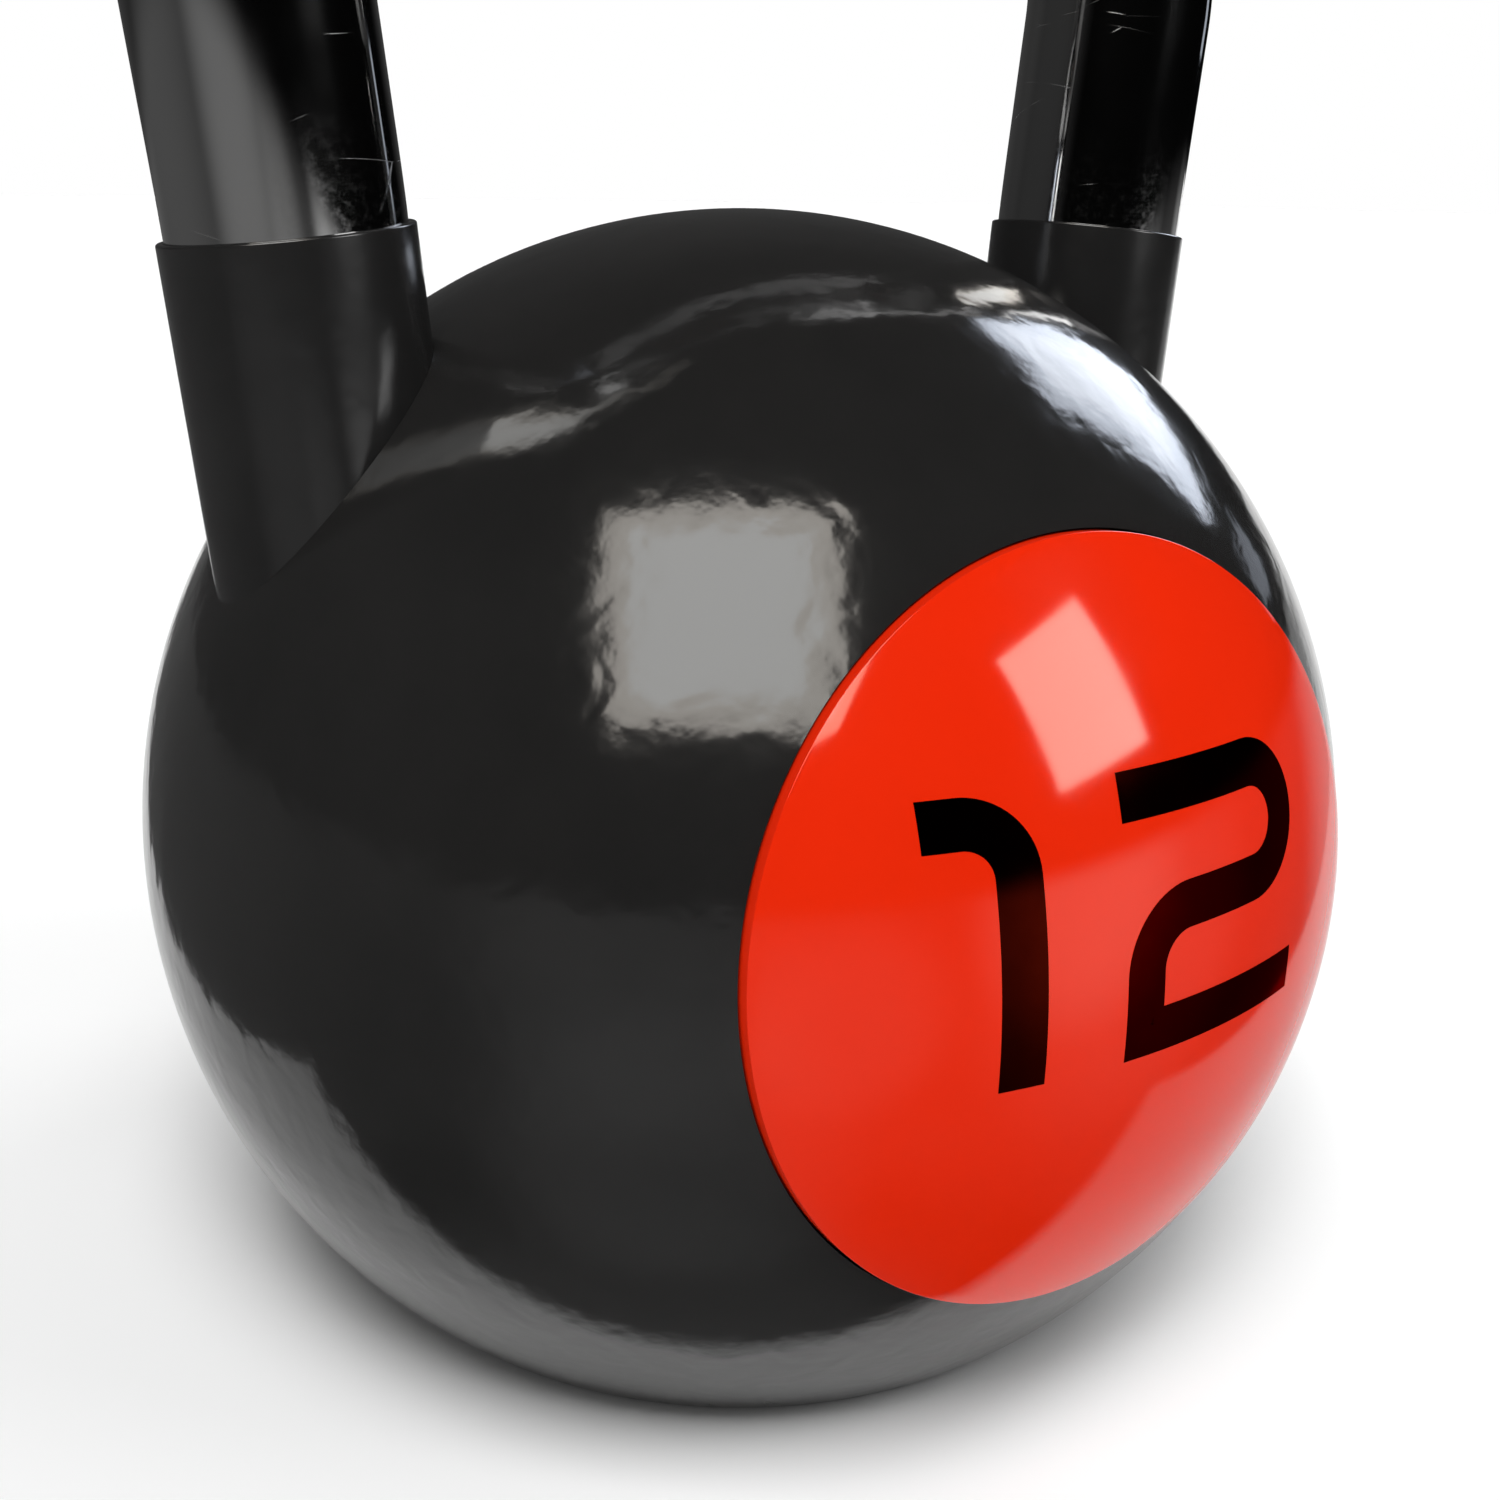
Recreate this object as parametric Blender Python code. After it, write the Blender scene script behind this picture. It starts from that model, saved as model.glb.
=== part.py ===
"""A 12 kg kettlebell: an iron core with a bent steel handle, covered in urethane, with a red badge.

The origin is the centre of the foot pad's underside. +Z is up, the grip runs along X, and the
badge faces -Y. Lengths are in metres.
"""

from math import acos, asin, cos, pi, radians, sin, tan

import bmesh
import bpy
from mathutils import Vector

# Ball and base
BALL_R = 0.090
BALL_Z = 0.066  # height of the ball's centre
COVER_FLAT_Z = 0.0004  # the cover's flat face, just above what the pad stands on
GAP = 0.0003  # clearance between touching pieces

# Foot pad and its adhesive
PAD_R = 0.054
PAD_T = 0.003
PAD_CHAMFER = 0.0006
PAD_GLUE_R = 0.051
PAD_GLUE_T = 0.0005

# Core casting
CORE_R = 0.070
CORE_FLAT_Z = 0.0163
CAVITY_R = 0.037
CAVITY_DROP = 0.006  # the cavity's centre below the ball's centre
NECK_R = 0.018
PLUG_R = 0.022
PLUG_T = 0.006

# Handle legs: each axis leaves the ball leaning outwards
LEG_X = 0.060  # axis offset at the height of the ball's centre
LEG_LEAN = radians(6.1)
BAR_R = 0.015
BAR_FOOT = -0.010  # the bar's end, along the leg axis from the height of the ball's centre

# Bosses on the core that hold the legs
BOSS_R = 0.020
BOSS_TOP = 0.018
BOSS_SHOULDER = -0.014
BOSS_TIP = -0.040
BOSS_TIP_R = 0.001
SEAT_R = 0.021  # the flat machined round each leg, at BOSS_TOP
BEAD_R = 0.0188
BEAD_H = 0.0045

# Cuffs
CUFF_R = 0.016
CUFF_FOOT = 0.025
CUFF_RIM = 0.0873

# Handle above the cuffs
UPPER_LEAN = radians(7.0)
LEAN_BEND_R = 0.6
LEAN_BEND_START = 0.0885
GRIP_Z = 0.231  # height of the grip's axis
GRIP_BEND_R = 0.040

# Badge, about an axis through the ball's centre
BADGE_TURN = radians(-1.4)  # about Z, from -Y
BADGE_TILT = radians(5.1)  # upwards
BADGE_R = 0.0476  # radius of its edge
BADGE_DOME_R = 0.091
BADGE_T = 0.0025
BADGE_CHAMFER = 0.0003
BADGE_GLUE_R = 0.046
BADGE_GLUE_T = 0.0007
NUMERAL_T = 0.0009
STROKE_W = 0.0057
QUARTER = pi / 2
# Each numeral is one stroke along +X: where it starts, then straight lengths and (radius, turn) arcs
NUMERALS = {
    "one": ((-0.0293, 0.0189), [0.0043, (0.0064, -QUARTER), 0.0247]),
    "two": (
        (-0.0045, 0.0189),
        [0.0222, (0.00695, -2 * QUARTER), 0.0124, (0.0072, QUARTER), 0.0072, (0, QUARTER), 0.0292],
    ),
}

# How finely round shapes are divided
BALL_SIDES = 64
BALL_STEP = radians(6)
CORE_SIDES = 32
CORE_STEP = radians(12)
LEG_SIDES = 32
BADGE_SIDES = 56
BADGE_STEP = radians(6.5)
PLUG_SIDES = 32
BEAD_STEPS = 3
LEAN_STEPS = 3
BEND_STEPS = 10
STROKE_STEP = radians(15)
SMOOTH_ANGLE = radians(35)


def clear_scene():
    for obj in list(bpy.data.objects):
        bpy.data.objects.remove(obj, do_unlink=True)


def material(name, colour, roughness, metallic=0.0):
    mat = bpy.data.materials.new(name)
    mat.use_nodes = True
    shader = mat.node_tree.nodes["Principled BSDF"]
    shader.inputs["Base Color"].default_value = (*colour, 1.0)
    shader.inputs["Roughness"].default_value = roughness
    shader.inputs["Metallic"].default_value = metallic
    return mat


def add_object(name, mesh, mat=None, parent=None):
    """A part with a material, or a hidden cutter without one."""
    obj = bpy.data.objects.new(name, mesh)
    bpy.context.scene.collection.objects.link(obj)
    obj.parent = parent
    if mat is None:
        obj.hide_render = True
        obj.display_type = "WIRE"
    else:
        mesh.materials.append(mat)
    return obj


def add_frame(name, location, rotation):
    """An empty that carries the pieces turned about one axis."""
    frame = bpy.data.objects.new(name, None)
    frame.location = location
    frame.rotation_euler = rotation
    bpy.context.scene.collection.objects.link(frame)
    return frame


def arc(radius, start, end, step, centre_z=0.0):
    """Profile points on a circle about the axis, by angle from +Z."""
    count = max(1, round(abs(end - start) / step))
    angles = [start + (end - start) * i / count for i in range(count + 1)]
    return [(radius * sin(a), centre_z + radius * cos(a)) for a in angles]


def finish_mesh(name, bm):
    bmesh.ops.recalc_face_normals(bm, faces=bm.faces)
    mesh = bpy.data.meshes.new(name)
    bm.to_mesh(mesh)
    bm.free()
    mesh.shade_smooth()
    mesh.set_sharp_from_angle(angle=SMOOTH_ANGLE)
    return mesh


def turned(name, profile, sides):
    """A solid turned about Z. A profile of (radius, height) that starts off the axis closes on itself."""
    bm = bmesh.new()
    rings = []
    for radius, height in profile:
        if radius < 1e-7:
            rings.append([bm.verts.new((0.0, 0.0, height))])
            continue
        angles = [2 * pi * i / sides for i in range(sides)]
        rings.append([bm.verts.new((radius * cos(a), radius * sin(a), height)) for a in angles])
    pairs = list(zip(rings, rings[1:]))
    if len(rings[0]) > 1:
        pairs.append((rings[-1], rings[0]))
    for upper, lower in pairs:
        for i in range(sides):
            j = (i + 1) % sides
            corners = [upper[i % len(upper)], upper[j % len(upper)]]
            corners += [lower[j % len(lower)], lower[i % len(lower)]]
            bm.faces.new(list(dict.fromkeys(corners)))
    return finish_mesh(name, bm)


def boolean(obj, cutter, operation):
    modifier = obj.modifiers.new(cutter.name, "BOOLEAN")
    modifier.operation = operation
    modifier.object = cutter
    modifier.solver = "EXACT"


# ---------------------------------------------------------------- core


def flat_angle(radius, flat_z):
    """Angle from +Z at which a sphere about the ball's centre meets a flat at this height."""
    return acos((flat_z - BALL_Z) / radius)


def core_outside(grow):
    """Profile of the core's outer surface, from its flat to its top, grown by a clearance."""
    radius = CORE_R + grow
    return arc(radius, flat_angle(radius, CORE_FLAT_Z - grow), 0, CORE_STEP, BALL_Z)


def core_with_bosses(name, profile, grow, leg_frames, mat=None):
    """The core's body with its two bosses, each cut flat for the weld. It is grown by a clearance."""
    core = add_object(name, turned(name, profile, CORE_SIDES), mat)
    boss_r = BOSS_R + grow
    above = BOSS_TOP + BAR_R
    boss = [(0, BOSS_TIP), (BOSS_TIP_R + grow, BOSS_TIP), (boss_r, BOSS_SHOULDER), (boss_r, above), (0, above)]
    seat_r = SEAT_R - grow
    seat_z = BOSS_TOP + grow
    seat = [(0, seat_z), (seat_r, seat_z), (seat_r, BALL_R), (0, BALL_R)]
    for side, frame in leg_frames.items():
        boss_mesh = turned("boss", boss, LEG_SIDES)
        boolean(core, add_object(f"{side}_boss_of_{name}", boss_mesh, parent=frame), "UNION")
        seat_mesh = turned("seat", seat, LEG_SIDES)
        boolean(core, add_object(f"{side}_seat_of_{name}", seat_mesh, parent=frame), "DIFFERENCE")
    return core


def add_core(mat, leg_frames):
    cavity_z = BALL_Z - CAVITY_DROP
    neck_angle = pi - asin(NECK_R / CAVITY_R)
    cavity = arc(CAVITY_R, 0, neck_angle, CORE_STEP, cavity_z)
    plug_top = CORE_FLAT_Z + PLUG_T
    mouth = [(NECK_R, plug_top), (PLUG_R, plug_top), (PLUG_R, CORE_FLAT_Z)]
    profile = cavity + mouth + core_outside(0)
    core = core_with_bosses("core_casting", profile, 0, leg_frames, mat)
    socket_r = BAR_R + GAP
    foot = BAR_FOOT - GAP
    socket = [(0, foot), (socket_r, foot), (socket_r, BALL_R), (0, BALL_R)]
    for side, frame in leg_frames.items():
        mesh = turned("socket", socket, LEG_SIDES)
        boolean(core, add_object(f"{side}_socket", mesh, parent=frame), "DIFFERENCE")


def add_core_plug(mat):
    radius = PLUG_R - GAP
    top = CORE_FLAT_Z + PLUG_T - GAP
    profile = [(0, CORE_FLAT_Z), (radius, CORE_FLAT_Z), (radius, top), (0, top)]
    add_object("core_plug", turned("core_plug", profile, PLUG_SIDES), mat)


def add_weld_bead(side, mat, frame):
    """A convex ring of weld in the corner between the boss's top and the bar."""
    inner = BAR_R + GAP
    foot = BOSS_TOP + GAP
    width = BEAD_R - inner
    quarter = [QUARTER * i / BEAD_STEPS for i in range(BEAD_STEPS + 1)]
    outside = [(inner + width * cos(a), foot + BEAD_H * sin(a)) for a in quarter]
    profile = [(inner, foot)] + outside
    add_object(f"{side}_weld_bead", turned("weld_bead", profile, LEG_SIDES), mat, frame)


# ---------------------------------------------------------------- handle


def handle_half():
    """Points (x, z) of the bar's axis on the +X side, from its foot to the start of the straight grip."""

    def leg(distance):
        return Vector((LEG_X + distance * sin(LEG_LEAN), BALL_Z + distance * cos(LEG_LEAN)))

    points = [leg(BAR_FOOT), leg(CUFF_FOOT), leg(LEAN_BEND_START)]
    bend = points[-1] + LEAN_BEND_R * Vector((cos(LEG_LEAN), -sin(LEG_LEAN)))
    for i in range(1, LEAN_STEPS + 1):
        lean = LEG_LEAN + (UPPER_LEAN - LEG_LEAN) * i / LEAN_STEPS
        points.append(bend + LEAN_BEND_R * Vector((-cos(lean), sin(lean))))
    centre_z = GRIP_Z - GRIP_BEND_R
    bend_start_z = centre_z - GRIP_BEND_R * sin(UPPER_LEAN)
    start_x = points[-1].x + (bend_start_z - points[-1].y) * tan(UPPER_LEAN)
    centre = Vector((start_x - GRIP_BEND_R * cos(UPPER_LEAN), centre_z))
    for i in range(BEND_STEPS + 1):
        turn = -UPPER_LEAN + (QUARTER + UPPER_LEAN) * i / BEND_STEPS
        points.append(centre + GRIP_BEND_R * Vector((cos(turn), sin(turn))))
    return points


def add_handle(mat):
    right = handle_half()
    left = [Vector((-p.x, p.y)) for p in reversed(right)]
    path = right + left
    curve = bpy.data.curves.new("handle_bar", "CURVE")
    curve.dimensions = "3D"
    curve.bevel_depth = BAR_R
    curve.bevel_resolution = LEG_SIDES // 2 - 2
    curve.use_fill_caps = True
    spline = curve.splines.new("POLY")
    spline.points.add(len(path) - 1)
    for point, place in zip(spline.points, path):
        point.co = (place.x, 0, place.y, 1)
    add_object("handle_bar", curve, mat)


# ---------------------------------------------------------------- cover, cuffs and pad


def add_cuff(side, mat, frame):
    inner = BAR_R + GAP
    profile = [(inner, CUFF_FOOT), (CUFF_R, CUFF_FOOT), (CUFF_R, CUFF_RIM), (inner, CUFF_RIM)]
    add_object(f"{side}_cuff", turned("cuff", profile, LEG_SIDES), mat, frame)


def add_cover(mat, leg_frames, badge_frame):
    recess_top = PAD_T + PAD_GLUE_T + 2 * GAP
    recess_r = PAD_R + GAP
    foot = [(0, recess_top), (recess_r, recess_top), (recess_r, COVER_FLAT_Z)]
    ball = arc(BALL_R, flat_angle(BALL_R, COVER_FLAT_Z), 0, BALL_STEP, BALL_Z)
    cover = add_object("ball_cover", turned("ball_cover", foot + ball, BALL_SIDES), mat)

    core_profile = [(0, CORE_FLAT_Z - GAP)] + core_outside(GAP)
    core_room = core_with_bosses("core_room", core_profile, GAP, leg_frames)
    boolean(cover, core_room, "DIFFERENCE")

    bead_foot = BOSS_TOP + GAP
    bead_top = bead_foot + BEAD_H + GAP
    hole_r = CUFF_R + GAP
    for side, frame in leg_frames.items():
        hole = [
            (0, 0),
            (hole_r, 0),
            (BEAD_R + 2 * GAP, BOSS_TOP),
            (BEAD_R + 2 * GAP, bead_top),
            (hole_r, bead_top),
            (hole_r, 2 * BALL_R),
            (0, 2 * BALL_R),
        ]
        leg_hole = add_object(f"{side}_leg_hole", turned("leg_hole", hole, LEG_SIDES), parent=frame)
        boolean(cover, leg_hole, "DIFFERENCE")

    floor_r = BADGE_DOME_R - BADGE_T - BADGE_GLUE_T - 2 * GAP
    recess = dome_shell("badge_recess", floor_r, BADGE_DOME_R + BADGE_T, BADGE_R + GAP)
    boolean(cover, add_object("badge_recess", recess, parent=badge_frame), "DIFFERENCE")


def disc(name, radius, low, high, chamfer, mat):
    profile = [(0, low), (radius - chamfer, low), (radius, low + chamfer), (radius, high), (0, high)]
    if not chamfer:
        profile.pop(1)
    add_object(name, turned(name, profile, BALL_SIDES), mat)


# ---------------------------------------------------------------- badge


def dome_shell(name, inner_r, outer_r, edge_r, chamfer=0.0):
    """A shell between two spheres about the frame's origin, cut to a round edge about +Z."""
    outside = arc(outer_r, 0, asin((edge_r - chamfer) / outer_r), BADGE_STEP)
    inside = arc(inner_r, asin(edge_r / inner_r), 0, BADGE_STEP)
    bevel = [(edge_r, outside[-1][1] - chamfer)] if chamfer else []
    return turned(name, outside + bevel + inside, BADGE_SIDES)


def stroke_sides(start, moves, width):
    """The outline of a stroke that starts along +X. A move is a length, or a (radius, turn) arc."""
    place = Vector(start)
    heading = 0.0
    left, right = [], []

    def mark(at, angle, stretch=1.0):
        across = Vector((-sin(angle), cos(angle))) * width / 2 * stretch
        left.append(at + across)
        right.append(at - across)

    mark(place, heading)
    for move in moves:
        if not isinstance(move, tuple):
            place = place + move * Vector((cos(heading), sin(heading)))
            continue
        radius, turn = move
        if radius == 0:
            mark(place, heading + turn / 2, 1 / cos(turn / 2))
            heading += turn
            continue
        toward = 1 if turn > 0 else -1
        centre = place + toward * radius * Vector((-sin(heading), cos(heading)))
        steps = round(abs(turn) / STROKE_STEP)
        for i in range(steps + 1):
            angle = heading + turn * i / steps
            place = centre - toward * radius * Vector((-sin(angle), cos(angle)))
            mark(place, angle)
        heading += turn
    mark(place, heading)
    return left, right


def stroke_prism(name, start, moves, width):
    """A stroke extruded along the badge axis, through the whole cap."""
    left, right = stroke_sides(start, moves, width)
    low = BADGE_DOME_R / 2
    rise = Vector((0, 0, BADGE_DOME_R))
    bm = bmesh.new()
    pairs = [[bm.verts.new((p.x, p.y, low)) for p in pair] for pair in zip(left, right)]
    for a, b in zip(pairs, pairs[1:]):
        bm.faces.new((a[0], a[1], b[1], b[0]))
    grown = bmesh.ops.extrude_face_region(bm, geom=list(bm.faces))["geom"]
    bmesh.ops.translate(bm, vec=rise, verts=[v for v in grown if isinstance(v, bmesh.types.BMVert)])
    return finish_mesh(name, bm)


def longer(start, moves, extra):
    """The same stroke with both ends drawn out, for a pocket with clearance all round."""
    first = (start[0] - extra, start[1])
    return first, [moves[0] + extra] + moves[1:-1] + [moves[-1] + extra]


def add_badge(cap_mat, numeral_mat, glue_mat, frame):
    back_r = BADGE_DOME_R - BADGE_T
    cap_mesh = dome_shell("badge_cap", back_r, BADGE_DOME_R, BADGE_R, BADGE_CHAMFER)
    cap = add_object("badge_cap", cap_mesh, cap_mat, frame)
    glue_r = back_r - GAP
    glue = dome_shell("badge_adhesive", glue_r - BADGE_GLUE_T, glue_r, BADGE_GLUE_R)
    add_object("badge_adhesive", glue, glue_mat, frame)

    floor_r = BADGE_DOME_R - NUMERAL_T
    skin = add_object("numeral_skin", dome_shell("skin", floor_r, BADGE_DOME_R, BADGE_R), parent=frame)
    depth = dome_shell("depth", floor_r - GAP, BADGE_DOME_R + BADGE_T, BADGE_R)
    pocket_skin = add_object("pocket_skin", depth, parent=frame)
    for word, (start, moves) in NUMERALS.items():
        mesh = stroke_prism(f"numeral_{word}", start, moves, STROKE_W)
        numeral = add_object(f"numeral_{word}", mesh, numeral_mat, frame)
        boolean(numeral, skin, "INTERSECT")
        room = stroke_prism(f"pocket_{word}", *longer(start, moves, GAP), STROKE_W + 2 * GAP)
        pocket = add_object(f"pocket_{word}", room, parent=frame)
        boolean(pocket, pocket_skin, "INTERSECT")
        boolean(cap, pocket, "DIFFERENCE")


# ---------------------------------------------------------------- whole object


def main():
    clear_scene()
    urethane = material("urethane", (0.016, 0.016, 0.018), 0.22)
    sleeve = material("sleeve", (0.018, 0.018, 0.020), 0.28)
    black_chrome = material("black_chrome", (0.16, 0.16, 0.17), 0.08, 1.0)
    cast_iron = material("cast_iron", (0.12, 0.12, 0.12), 0.6, 0.9)
    weld = material("weld", (0.30, 0.28, 0.26), 0.5, 1.0)
    steel = material("steel", (0.45, 0.45, 0.46), 0.35, 1.0)
    red = material("red_cap", (0.76, 0.028, 0.008), 0.12)
    numeral = material("numeral_black", (0.006, 0.006, 0.006), 0.12)
    adhesive = material("adhesive", (0.55, 0.54, 0.50), 0.7)
    pad = material("pad_rubber", (0.025, 0.025, 0.026), 0.75)

    ball_centre = (0, 0, BALL_Z)
    leg_frames = {
        side: add_frame(f"{side}_leg_axis", (sign * LEG_X, 0, BALL_Z), (0, sign * LEG_LEAN, 0))
        for side, sign in (("left", -1), ("right", 1))
    }
    badge_frame = add_frame("badge_axis", ball_centre, (QUARTER - BADGE_TILT, 0, BADGE_TURN))

    add_core(cast_iron, leg_frames)
    add_core_plug(steel)
    add_handle(black_chrome)
    for side, frame in leg_frames.items():
        add_weld_bead(side, weld, frame)
        add_cuff(side, sleeve, frame)
    add_cover(urethane, leg_frames, badge_frame)
    add_badge(red, numeral, adhesive, badge_frame)
    glue_low = PAD_T + GAP
    disc("pad_adhesive", PAD_GLUE_R, glue_low, glue_low + PAD_GLUE_T, 0, adhesive)
    disc("base_pad", PAD_R, 0, PAD_T, PAD_CHAMFER, pad)


main()
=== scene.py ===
"""Looks for the kettlebell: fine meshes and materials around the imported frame. Lengths are in metres."""

from math import acos, asin, atan2, cos, pi, radians, sin, sqrt, tan

import bmesh
import bpy
from mathutils import Matrix, Vector


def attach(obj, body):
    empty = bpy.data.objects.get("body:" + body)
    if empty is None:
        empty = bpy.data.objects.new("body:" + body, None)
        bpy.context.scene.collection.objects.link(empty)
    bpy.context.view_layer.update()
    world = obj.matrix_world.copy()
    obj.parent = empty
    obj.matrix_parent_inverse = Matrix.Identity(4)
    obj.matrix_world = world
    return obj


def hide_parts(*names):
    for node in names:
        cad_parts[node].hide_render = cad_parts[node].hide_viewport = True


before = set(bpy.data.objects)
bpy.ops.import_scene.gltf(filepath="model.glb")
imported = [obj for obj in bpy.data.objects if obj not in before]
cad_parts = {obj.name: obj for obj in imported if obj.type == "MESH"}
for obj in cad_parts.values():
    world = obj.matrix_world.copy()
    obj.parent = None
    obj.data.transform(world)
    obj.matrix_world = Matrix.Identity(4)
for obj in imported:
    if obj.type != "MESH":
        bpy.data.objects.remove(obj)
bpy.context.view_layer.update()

# The object's driving sizes, as the frame's solids have them
GAP = 0.0003  # clearance between touching pieces, where it is hidden
HAIR = 0.00003  # clearance where it would show
BALL_R = 0.090
BALL_CENTRE = Vector((0, 0, 0.066))
COVER_FLAT_Z = 0.0004
PAD_R = 0.054
PAD_T = 0.003
PAD_RECESS_Z = 0.0041
RING_DEPTH = 0.0006  # the rings under the pad, each a groove with sloping sides
RING_EDGE = 0.0002
RING_PITCH = 0.006
RING_OUTER_R = 0.050
RING_INNER_R = 0.008
CORE_R = 0.070
CORE_FLAT_Z = 0.0163
LEG_X = 0.060
LEG_LEAN = radians(6.1)
UPPER_LEAN = radians(7.0)
LEAN_BEND_R = 0.6
LEAN_BEND_START = 0.0885
BAR_R = 0.015
BAR_FOOT = -0.010
GRIP_Z = 0.231
GRIP_BEND_R = 0.040
CUFF_R = 0.016
CUFF_FOOT = 0.025
CUFF_RIM = 0.0873
BOSS_R = 0.020
BOSS_TIP_R = 0.001
BOSS_TIP = -0.040
BOSS_SHOULDER = -0.014
BOSS_TOP = 0.018
BEAD_ROOM_TOP = 0.0235  # where a leg's hole in the cover narrows to the cuff
BADGE_TURN = radians(-1.4)
BADGE_TILT = radians(5.1)
BADGE_R = 0.0476
BADGE_DOME_R = 0.091
BADGE_T = 0.0025
BADGE_FLOOR_R = 0.0872  # radius of the floor of the cover's recess for the badge
BADGE_CLEAR_R = BADGE_DOME_R * 1.05  # how far out that recess is cut
STROKE_W = 0.0057
PRINT_T = 0.0003  # how deep the printed numerals reach into the cap

# Radii of rounded edges
COVER_EDGE = 0.0012
CUFF_INNER_EDGE = 0.0002
CUFF_OUTER_EDGE = 0.00035
BADGE_LIP = 0.00015
PAD_TOP_EDGE = 0.0003
PAD_FOOT_EDGE = 0.0006

# Camera, seen from the ball's centre
VIEW_AZIMUTH = -33.70
VIEW_ELEVATION = 20.06
VIEW_DISTANCE = 3.012 * BALL_R
AIM_YAW = radians(-0.25)
AIM_PITCH = radians(6.29)
AIM_ROLL = radians(0.72)
LENS_MM = 40.42
SHIFT_Y = -0.1

# How finely round shapes are divided
SIDES = 240
ROOM_SIDES = 96
HOLE_SIDES = 128
CUFF_SIDES = 160
PAD_SIDES = 160
BAR_SIDES = 96
BALL_STEP = radians(1.5)
HEEL_STEP = radians(8)
ROOM_STEP = radians(6)
DOME_STEP = radians(1.2)
HIDDEN_DOME_STEP = radians(3)
LIP_STEP = radians(15)
LEG_RUN = 0.008
LEG_RUNS = 12
LEAN_STEPS = 6
UPPER_LEG_RUNS = 4
BEND_STEPS = 48
GRIP_RUNS = 5
STROKE_RUN = 0.0012
STROKE_STEP = radians(5)
STROKE_RUNS_ACROSS = 6
SHARP_ANGLE = radians(32)
COVER_SHARP_ANGLE = radians(30)
ON_AXIS = 1e-7  # a smaller radius than this is a point on the axis

# Stage
STUDIO_R = 400.0  # far enough out for the lights to look the same from all over the object
LIGHT_STEP = 0.5  # each light stands this much further out than the one before
FLOOR_REACH = 16.0


# ---------------------------------------------------------------- meshes


def finish_mesh(name, bm):
    bmesh.ops.recalc_face_normals(bm, faces=bm.faces)
    mesh = bpy.data.meshes.new(name)
    bm.to_mesh(mesh)
    bm.free()
    mesh.shade_smooth()
    mesh.set_sharp_from_angle(angle=SHARP_ANGLE)
    return mesh


def add_piece(name, mesh, matrix=None):
    obj = bpy.data.objects.new(name, mesh)
    bpy.context.scene.collection.objects.link(obj)
    if matrix is not None:
        mesh.transform(matrix)
    return obj


def arc(radius, start, end, step, centre=(0.0, 0.0)):
    """Points (radius, height) on a circle, by angle from +Z towards +X."""
    count = max(1, round(abs(end - start) / step))
    angles = [start + (end - start) * i / count for i in range(count + 1)]
    return [(centre[0] + radius * sin(a), centre[1] + radius * cos(a)) for a in angles]


def rounded(corners, steps=6):
    """A profile through corners of (radius, height, fillet), with each fillet as an arc."""
    points = []
    count = len(corners)
    for i, (x, z, fillet) in enumerate(corners):
        here = Vector((x, z))
        if not fillet:
            points.append((x, z))
            continue
        before = (Vector(corners[i - 1][:2]) - here).normalized()
        after = (Vector(corners[(i + 1) % count][:2]) - here).normalized()
        half = before.angle(after) / 2
        centre = here + (before + after).normalized() * fillet / sin(half)
        first = here + before * fillet / tan(half) - centre
        last = here + after * fillet / tan(half) - centre
        turn = first.angle_signed(last)
        for k in range(steps + 1):
            p = centre + Matrix.Rotation(-turn * k / steps, 2) @ first
            points.append((p.x, p.y))
    return points


def turned(name, profile, sides=SIDES):
    """A solid turned about Z. A profile that starts off the axis closes on itself."""
    bm = bmesh.new()
    rings = []
    for radius, height in profile:
        if radius < ON_AXIS:
            rings.append([bm.verts.new((0, 0, height))])
            continue
        angles = [2 * pi * i / sides for i in range(sides)]
        rings.append([bm.verts.new((radius * cos(a), radius * sin(a), height)) for a in angles])
    pairs = list(zip(rings, rings[1:]))
    if len(rings[0]) > 1:
        pairs.append((rings[-1], rings[0]))
    for upper, lower in pairs:
        for i in range(sides):
            j = (i + 1) % sides
            corners = [upper[i % len(upper)], upper[j % len(upper)]]
            corners += [lower[j % len(lower)], lower[i % len(lower)]]
            bm.faces.new(list(dict.fromkeys(corners)))
    return finish_mesh(name, bm)


def cut(obj, name, mesh, matrix=None):
    """Cuts a mesh out of the piece, and leaves no modifier or cutter behind."""
    cutter = add_piece(name, mesh, matrix)
    modifier = obj.modifiers.new(name, "BOOLEAN")
    modifier.operation = "DIFFERENCE"
    modifier.solver = "EXACT"
    modifier.object = cutter
    graph = bpy.context.evaluated_depsgraph_get()
    result = bpy.data.meshes.new_from_object(obj.evaluated_get(graph))
    obj.modifiers.clear()
    obj.data = result
    bpy.data.objects.remove(cutter, do_unlink=True)


def leg_matrix(side):
    place = Matrix.Translation((side * LEG_X, 0, BALL_CENTRE.z))
    return place @ Matrix.Rotation(side * LEG_LEAN, 4, "Y")


BADGE_MATRIX = (
    Matrix.Translation(BALL_CENTRE)
    @ Matrix.Rotation(BADGE_TURN, 4, "Z")
    @ Matrix.Rotation(pi / 2 - BADGE_TILT, 4, "X")
)


def ride(piece, *nodes):
    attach(piece, "root")
    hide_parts(*nodes)


# ---------------------------------------------------------------- pieces


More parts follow.
